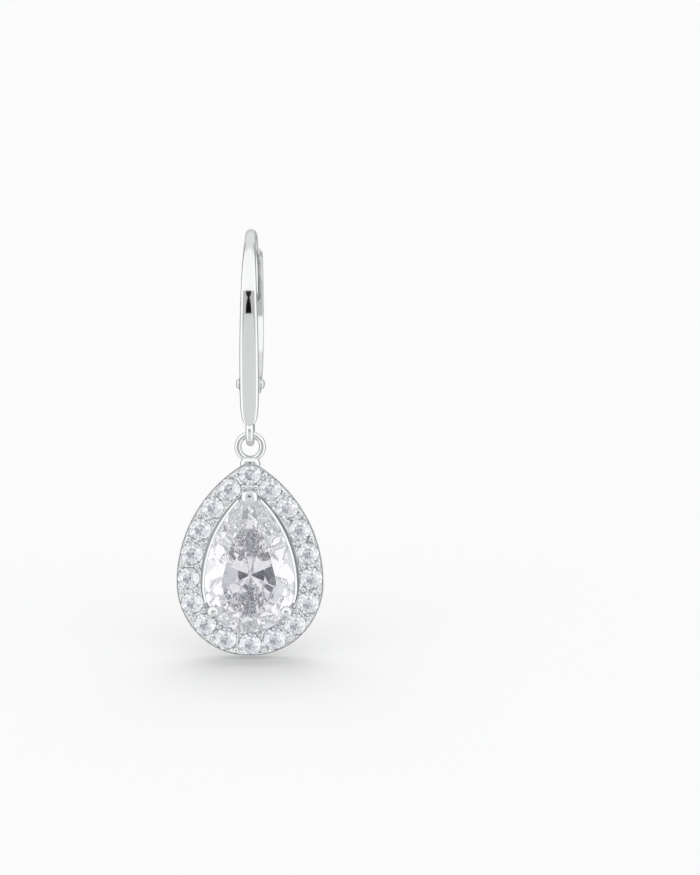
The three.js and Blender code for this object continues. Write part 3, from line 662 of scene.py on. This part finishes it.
plate_width, plate_back, plate_draft, rim_width, rim_foot, field_drop = 1.63, 1.1, 0.12, 0.12, 0.17, 0.04
plate_section = rounded([(0.0, 0.0), (plate_draft, plate_back), (plate_width, plate_back),
                         (plate_width, field_drop), (rim_foot, field_drop), (rim_width, 0.0)], 0.05)
seat_inset, seat_count = 0.82, 18
seat_mouth, seat_radius, seat_hole, seat_above, seat_below = 0.77, 0.75, 0.34, -0.3, 1.3
seat_profile = [(0.0, seat_above), (seat_mouth, seat_above), (seat_mouth, -0.02), (seat_radius, 0.0),
                (seat_radius, 0.075), (seat_hole, 0.45), (seat_hole, seat_below), (0.0, seat_below)]
seat_places = even_places(halo_shape, seat_inset, seat_count)
plate = add_mesh("halo_plate", *joined(pear_band(halo_shape, plate_section)), cast_gold, 30)
seat_parts = []
for place in seat_places:
    p = pear_point(halo_shape, seat_inset, place)
    seat_parts.append(turned(seat_profile, (p.x, face_at, p.y), (0, 1, 0), 48))
cutter = add_mesh("seat_cutter", *joined(*seat_parts), cast_gold, 30)
cut = plate.modifiers.new("seats", "BOOLEAN")
cut.object = cutter
cut.operation = "DIFFERENCE"
cut.solver = "EXACT"
mesh_result(plate, "halo_plate")
bpy.data.objects.remove(cutter)
plate.data.set_sharp_from_angle(angle=math.radians(30))
plate.data.materials.append(cut_gold)
for polygon in plate.data.polygons:
    if polygon.normal.y < -0.9 and abs(polygon.center.y - (face_at + field_drop) * MM) < 0.01 * MM:
        polygon.material_index = 1
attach(plate, "pendant")
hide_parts("pendant_frame")

# Beads
# Grains raised from the plate with a graver and burnished to domes, two in
# each space between neighbouring stones.
bead_points = bpy.data.meshes.new("bead_points")
bead_verts = []
bead_spread = 0.5
for place in even_places(halo_shape, seat_inset, 2 * seat_count)[1::2]:
    p, out = pear_point(halo_shape, seat_inset, place), pear_outward(halo_shape, seat_inset, place)
    for spread in (-bead_spread, bead_spread):
        bead_verts.append(Vector((p.x + out.x * spread, face_at, p.y + out.y * spread)) * MM)
bead_points.from_pydata(bead_verts, [], [])
beads = bpy.data.objects.new("halo_beads", bead_points)
bpy.context.scene.collection.objects.link(beads)


def repeat_on_points(piece, material, unit, spin_name=None, size=(1.0, 1.0), seed=3):
    """Geometry Nodes: one unit mesh on every point, slightly varied in size."""
    tree = bpy.data.node_groups.new("repeat_" + piece.name, "GeometryNodeTree")
    tree.interface.new_socket("Geometry", in_out="INPUT", socket_type="NodeSocketGeometry")
    smallest = tree.interface.new_socket("Smallest", in_out="INPUT", socket_type="NodeSocketFloat")
    largest = tree.interface.new_socket("Largest", in_out="INPUT", socket_type="NodeSocketFloat")
    tree.interface.new_socket("Geometry", in_out="OUTPUT", socket_type="NodeSocketGeometry")
    nodes, links = tree.nodes, tree.links
    start, end = nodes.new("NodeGroupInput"), nodes.new("NodeGroupOutput")
    points = nodes.new("GeometryNodeMeshToPoints")
    each = nodes.new("GeometryNodeInstanceOnPoints")
    source = nodes.new("GeometryNodeObjectInfo")
    source.inputs["Object"].default_value = unit
    vary = nodes.new("FunctionNodeRandomValue")
    vary.inputs["Seed"].default_value = seed
    real = nodes.new("GeometryNodeRealizeInstances")
    paint = nodes.new("GeometryNodeSetMaterial")
    paint.inputs["Material"].default_value = material
    links.new(start.outputs["Geometry"], points.inputs["Mesh"])
    links.new(start.outputs["Smallest"], vary.inputs[2])
    links.new(start.outputs["Largest"], vary.inputs[3])
    links.new(points.outputs["Points"], each.inputs["Points"])
    links.new(source.outputs["Geometry"], each.inputs["Instance"])
    links.new(vary.outputs[1], each.inputs["Scale"])
    if spin_name:
        spin = nodes.new("GeometryNodeInputNamedAttribute")
        spin.data_type = "FLOAT_VECTOR"
        spin.inputs["Name"].default_value = spin_name
        links.new(spin.outputs[0], each.inputs["Rotation"])
    links.new(each.outputs["Instances"], real.inputs["Geometry"])
    links.new(real.outputs["Geometry"], paint.inputs["Geometry"])
    links.new(paint.outputs["Geometry"], end.inputs["Geometry"])
    modifier = piece.modifiers.new("repeat", "NODES")
    modifier.node_group = tree
    modifier[smallest.identifier] = size[0]
    modifier[largest.identifier] = size[1]
    mesh_result(piece, piece.name)
    if not piece.data.materials:
        piece.data.materials.append(material)
    bpy.data.objects.remove(unit)


bead_profile = [(0.0, 0.12), (0.185, 0.07), (0.19, -0.03), (0.182, -0.075), (0.162, -0.115), (0.132, -0.144),
                (0.1, -0.161), (0.07, -0.17), (0.045, -0.173), (0.0, -0.175)]
bead_unit = add_mesh("bead_unit", *turned(bead_profile, (0, 0, 0), (0, 1, 0), 24), cast_gold, 60)
repeat_on_points(beads, cast_gold, bead_unit, size=(0.93, 1.03))
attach(beads, "pendant")
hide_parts("pendant_frame")

# Rail and ledge
# Cast with the plate: a ledge that carries the centre stone, and on it a thin
# polished wall along both sides of the stone.
rail_inner, rail_outer, rail_crest, rail_shoulder, rail_foot = -0.02, -0.17, -0.38, -0.29, 0.6
rail_start, rail_end, rail_steps = 0.137, 1.22, 120
rail_section = rounded([(rail_inner, rail_crest), (rail_outer, rail_shoulder),
                        (rail_outer, rail_foot), (rail_inner, rail_foot)], 0.02)
rail_parts = []
for hand in (1, -1):
    rings = []
    for k in range(rail_steps + 1):
        w = rail_start + (rail_end - rail_start) * k / rail_steps
        ring = [(pear_point(stone_shape, inset, w), back) for inset, back in rail_section]
        rings.append([(hand * p.x, face_at + back, p.y) for p, back in ring])
    rail_parts.append(skin(rings))
ledge_outer, ledge_inner, ledge_back = -0.45, 0.3, 1.08
ledge = pear_band(stone_shape, rounded([(ledge_outer, 0.45), (ledge_outer, ledge_back),
                                        (ledge_inner, ledge_back), (ledge_inner, 0.62)], 0.05))
rail = add_mesh("rail_and_ledge", *joined(ledge, *rail_parts), cast_gold, 35)
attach(rail, "pendant")
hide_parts("pendant_frame")

# Ring
# A closed ring of round wire, soldered behind the plate's tip; the solder is
# filed to one smooth dome.
ring_height, ring_radius, ring_wire, solder_height = -13.72, 0.815, 0.225, -14.78
solder_half = [(0.66, -15.1), (0.66, solder_height), (0.58, -14.58), (0.44, -14.44), (0.2, -14.36)]
solder_outline = [(-px, pz) for px, pz in solder_half[3::-1]] + solder_half + [(-0.2, -14.36)]
solder_rings = []
for y, draw in ((-2.13, 0.9), (-2.12, 0.7), (-2.09, 0.45), (-2.03, 0.22), (-1.94, 0.07), (-1.84, 0.0),
                (-1.38, 0.0), (-1.32, 0.07)):
    solder_rings.append([(px * (1 - draw), y, solder_height + (pz - solder_height) * (1 - draw))
                         for px, pz in solder_outline])
ring = add_mesh("pendant_ring", *joined(
    torus((0, link_depth, ring_height), (0, 1, 0), ring_radius, ring_wire, 84, 28),
    skin(solder_rings)), cast_gold, 45)
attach(ring, "pendant")
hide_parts("pendant_frame")

# Prongs
# Two round prongs low on the centre stone, their ends burnished to domes,
# and a small chevron cap over its tip.
prong_x, prong_z, prong_radius, dome_flat, dome_widen, dome_foot, dome_rise = (
    2.41, -24.58, 0.33, 0.115, 0.255, -0.52, 0.275)
prong_profile = [(0.0, -0.82), (0.05, -0.8185), (0.085, -0.815), (dome_flat, -0.806)]
for i in range(2, 11):
    turn = math.pi / 2 * i / 10
    prong_profile.append((dome_flat + dome_widen * math.sin(turn) ** 1.2,
                          dome_foot - dome_rise * math.cos(turn)))
prong_profile += [(0.36, -0.3), (prong_radius, 0.0), (prong_radius, 0.9), (0.0, 0.95)]
prong_parts = []
for hand in (1, -1):
    verts, faces = turned(prong_profile, (0, 0, 0), (0, 1, 0), 48)
    across = Vector((hand * prong_x, 0, prong_z - stone_shape[2])).normalized()
    moved = []
    for v in verts:
        if v.y < -0.25:
            v = v + across * (v.dot(across)) * 0.12
        moved.append(Vector((hand * prong_x, face_at, prong_z)) + v)
    prong_parts.append((moved, faces))
cap_top, cap_length, cap_half, cap_foot = -16.5, 0.96, 0.5, 0.9
groove_top, groove_fall, groove_width, groove_end = -16.92, 0.6, 0.07, 0.46
cap_crown, cap_slope, groove_floor = 0.16, 0.24, 0.13
cap_rows = []
for i in range(41):
    t = i / 40
    z = cap_top - cap_length * t
    half = cap_half * math.sqrt(1 - ((t - 0.56) / 0.57) ** 2)
    rise = -0.46 - 0.42 * math.sin(math.pi / 2 * min(1, 0.2 + 3.2 * t))
    if t > 0.75:
        rise += 0.3 * ((t - 0.75) / 0.25) ** 2
    row = []
    for k in range(29):
        u = -1 + 2 * k / 28
        line = groove_top - groove_fall * abs(u * half)
        groove = min(1, 2.2 * math.exp(-((z - line) / groove_width) ** 4))
        groove *= min(1, max(0, (groove_end - abs(u)) / 0.12))
        slope = cap_slope * max(0, -16.72 - z) * (1 - groove) + groove_floor * groove
        crown = cap_crown * (1 - abs(u) ** 2.2) * (1 - groove) + cap_crown * groove
        row.append((u * half, face_at + rise + 0.12 - crown + slope, z))
    row += [(half, face_at + cap_foot, z), (-half, face_at + cap_foot, z)]
    cap_rows.append(row)
prongs = add_mesh("prongs", *joined(*prong_parts, skin(cap_rows)), cast_gold, 45)
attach(prongs, "pendant")
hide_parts("pendant_frame")

# Basket
# Cast with the plate: five struts run back from the ledge to a smaller
# pear-shaped rail that keeps the stone's point off the skin.
base_outer, base_inner, base_front, base_back = 1.05, 1.5, 1.75, 2.2
strut_top, strut_foot, strut_radius = (0.05, 0.83), (1.275, 1.975), 0.27
base_section = rounded([(base_outer, base_front), (base_outer, base_back),
                        (base_inner, base_back), (base_inner, base_front)], 0.12)
basket_parts = [pear_band(stone_shape, base_section, 50, 50)]
for w in (0, 0.72, -0.72, 1.45, -1.45):
    upper, lower = pear_point(stone_shape, strut_top[0], w), pear_point(stone_shape, strut_foot[0], w)
    a = Vector((upper.x, face_at + strut_top[1], upper.y))
    b = Vector((lower.x, face_at + strut_foot[1], lower.y))
    length = (b - a).length
    basket_parts.append(turned([(0.0, -0.02), (0.26, -0.01), (strut_radius, 0.0), (strut_radius, length),
                                (0.0, length + 0.05)], a, b - a, 28))
basket = add_mesh("basket", *joined(*basket_parts), cast_gold, 40)
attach(basket, "pendant")
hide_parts("pendant_frame")


# Centre stone
# A colourless stone cut as a pear brilliant. It sits on the ledge, under the
# tip cap and the two prongs; here it is cut plane by plane from a blank.
def cut_stone(name, outline, facets, top, foot, girdle, material):
    """A blank cut to facets; each facet is (point, outward, slope in degrees, back)."""
    shell = bmesh.new()
    front_ring = [shell.verts.new(Vector((p.x, top, p.y)) * MM) for p in outline]
    back_ring = [shell.verts.new(Vector((p.x, foot, p.y)) * MM) for p in outline]
    shell.faces.new(front_ring)
    shell.faces.new(back_ring[::-1])
    for i in range(len(outline)):
        j = (i + 1) % len(outline)
        shell.faces.new((front_ring[j], front_ring[i], back_ring[i], back_ring[j]))
    bmesh.ops.recalc_face_normals(shell, faces=shell.faces)
    for point, outward, slope, back in facets:
        across, along = math.sin(math.radians(slope)), math.cos(math.radians(slope))
        normal = Vector((outward.x * across, along if back else -along, outward.y * across))
        through = Vector((point.x, girdle[1] if back else girdle[0], point.y)) * MM
        cut = bmesh.ops.bisect_plane(shell, geom=shell.verts[:] + shell.edges[:] + shell.faces[:], dist=1e-8,
                                     plane_co=through, plane_no=normal, clear_outer=True)
        edges = [e for e in cut["geom_cut"] if isinstance(e, bmesh.types.BMEdge)]
        if len(edges) > 2:
            bmesh.ops.contextual_create(shell, geom=edges)
    bmesh.ops.remove_doubles(shell, verts=shell.verts, dist=2e-7)
    bmesh.ops.recalc_face_normals(shell, faces=shell.faces)
    mesh = bpy.data.meshes.new(name)
    shell.to_mesh(mesh)
    shell.free()
    mesh.materials.append(material)
    stone = bpy.data.objects.new(name, mesh)
    bpy.context.scene.collection.objects.link(stone)
    return stone


def stone_material(name, low, high):
    """Clear cut stone, with faint zones between two tints."""
    material = bpy.data.materials.new(name)
    material.use_nodes = True
    tree = material.node_tree
    shader = tree.nodes["Principled BSDF"]
    shader.inputs["Metallic"].default_value = 0
    shader.inputs["Transmission Weight"].default_value = 1
    shader.inputs["IOR"].default_value = 2.417
    shader.inputs["Roughness"].default_value = 0.0
    coords = tree.nodes.new("ShaderNodeTexCoord")
    zones = tree.nodes.new("ShaderNodeTexNoise")
    zones.inputs["Scale"].default_value = 350
    tree.links.new(coords.outputs["Object"], zones.inputs["Vector"])
    tint = tree.nodes.new("ShaderNodeValToRGB")
    tint.color_ramp.elements[0].color = low
    tint.color_ramp.elements[1].color = high
    tree.links.new(zones.outputs["Fac"], tint.inputs["Fac"])
    tree.links.new(tint.outputs["Color"], shader.inputs["Base Color"])
    return material


pear_stone = stone_material("pear_stone", (0.965, 0.965, 1.0, 1), (1.0, 0.995, 1.0, 1))
girdle, table_at, blank_back = (-0.42, -0.32), -1.22, 2.2
culet, pavilion_depth = Vector((0, stone_shape[2] + 0.75)), 2.62
main_places = (0.0, 0.5, 0.94, 1.34, 1.7, 2.0)
girdle_places = (0.2, 0.36, 0.66, 0.82, 1.06, 1.2, 1.46, 1.58, 1.82, 1.93)
side_places, star_places = (0.88, 1.0), (0.24, 0.72, 1.14, 1.52, 1.85)
main_slope, girdle_slope, star_slope, star_inset = 34, 39.5, 22, -0.7
girdle_turn, side_turn = 1.6, 0.8
pear_facets = []


def pear_facet(where, back, turn=0.0, slope=None, inset=0.0):
    """One facet; without a slope it runs to the culet, steeper by turn."""
    point = pear_point(stone_shape, inset, where)
    outward = pear_outward(stone_shape, 0, where)
    if slope is None:
        reach = outward.dot(pear_point(stone_shape, 0, where) - culet)
        slope = math.degrees(math.atan(pavilion_depth / reach))
    pear_facets.append((point, outward, slope + turn, back))


for hand in (1, -1):
    for w in main_places:
        if w in (0.0, 2.0) and hand < 0:
            continue
        pear_facet(hand * w, False, slope=main_slope)
        pear_facet(hand * w, True)
    for w in girdle_places:
        pear_facet(hand * w, False, slope=girdle_slope)
        pear_facet(hand * w, True, turn=girdle_turn)
    for w in side_places:
        pear_facet(hand * w, True, turn=side_turn)
    for w in star_places:
        pear_facet(hand * w, False, slope=star_slope, inset=star_inset)
blank = [pear_point(stone_shape, 0, w) for w in pear_places(48, 48)]
centre_stone = cut_stone("centre_stone_cut", blank, pear_facets, table_at, blank_back, girdle, pear_stone)
centre_stone.data.transform(Matrix.Translation((0, face_at * MM, 0)))
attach(centre_stone, "pendant")
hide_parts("centre_stone")

# Small stones
# Eighteen round brilliants of fifty-seven facets, one in each seat, held by
# the beads between them and each turned its own way.
small_stone = stone_material("small_stone", (0.96, 0.97, 1.0, 1), (1.0, 1.0, 1.0, 1))
small_size, small_table, small_back, small_girdle, small_sink = 1.45, -0.239, 0.65, (-0.018, 0.018), 0.03
crown_main, crown_girdle, crown_star, back_main, back_girdle = 33.5, 39.0, 22.5, 40.8, 42.2
star_reach, spin_spread = small_size * 0.5 + 0.17, 0.7
around = [Vector((math.cos(t), math.sin(t))) for t in (2 * math.pi * i / 64 for i in range(64))]
round_facets = []
for i in range(8):
    out = Vector((math.cos(math.pi / 4 * i), math.sin(math.pi / 4 * i)))
    round_facets.append((out * small_size / 2, out, crown_main, False))
    round_facets.append((out * small_size / 2, out, back_main, True))
    out = Vector((math.cos(math.pi / 4 * (i + 0.5)), math.sin(math.pi / 4 * (i + 0.5))))
    round_facets.append((out * star_reach, out, crown_star, False))
for i in range(16):
    out = Vector((math.cos(math.pi / 8 * (i + 0.5)), math.sin(math.pi / 8 * (i + 0.5))))
    round_facets.append((out * small_size / 2, out, crown_girdle, False))
    round_facets.append((out * small_size / 2, out, back_girdle, True))
unit = cut_stone("round_unit", [v * small_size / 2 for v in around], round_facets,
                 small_table, small_back, small_girdle, small_stone)
stone_points = bpy.data.meshes.new("stone_points")
stone_points.from_pydata([Vector((p.x, face_at + small_sink, p.y)) * MM
                          for p in (pear_point(halo_shape, seat_inset, w) for w in seat_places)], [], [])
spin = stone_points.attributes.new("spin", "FLOAT_VECTOR", "POINT")
for i, w in enumerate(seat_places):
    out = pear_outward(halo_shape, seat_inset, w)
    spin.data[i].vector = (0, -math.atan2(out.y, out.x) + spin_spread * math.sin(3.1 * i), 0)
small_stones = bpy.data.objects.new("halo_stones_cut", stone_points)
bpy.context.scene.collection.objects.link(small_stones)
repeat_on_points(small_stones, small_stone, unit, spin_name="spin", size=(0.992, 1.0), seed=5)
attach(small_stones, "pendant")
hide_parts(*[f"halo_stone_{i:02d}" for i in range(1, 19)])
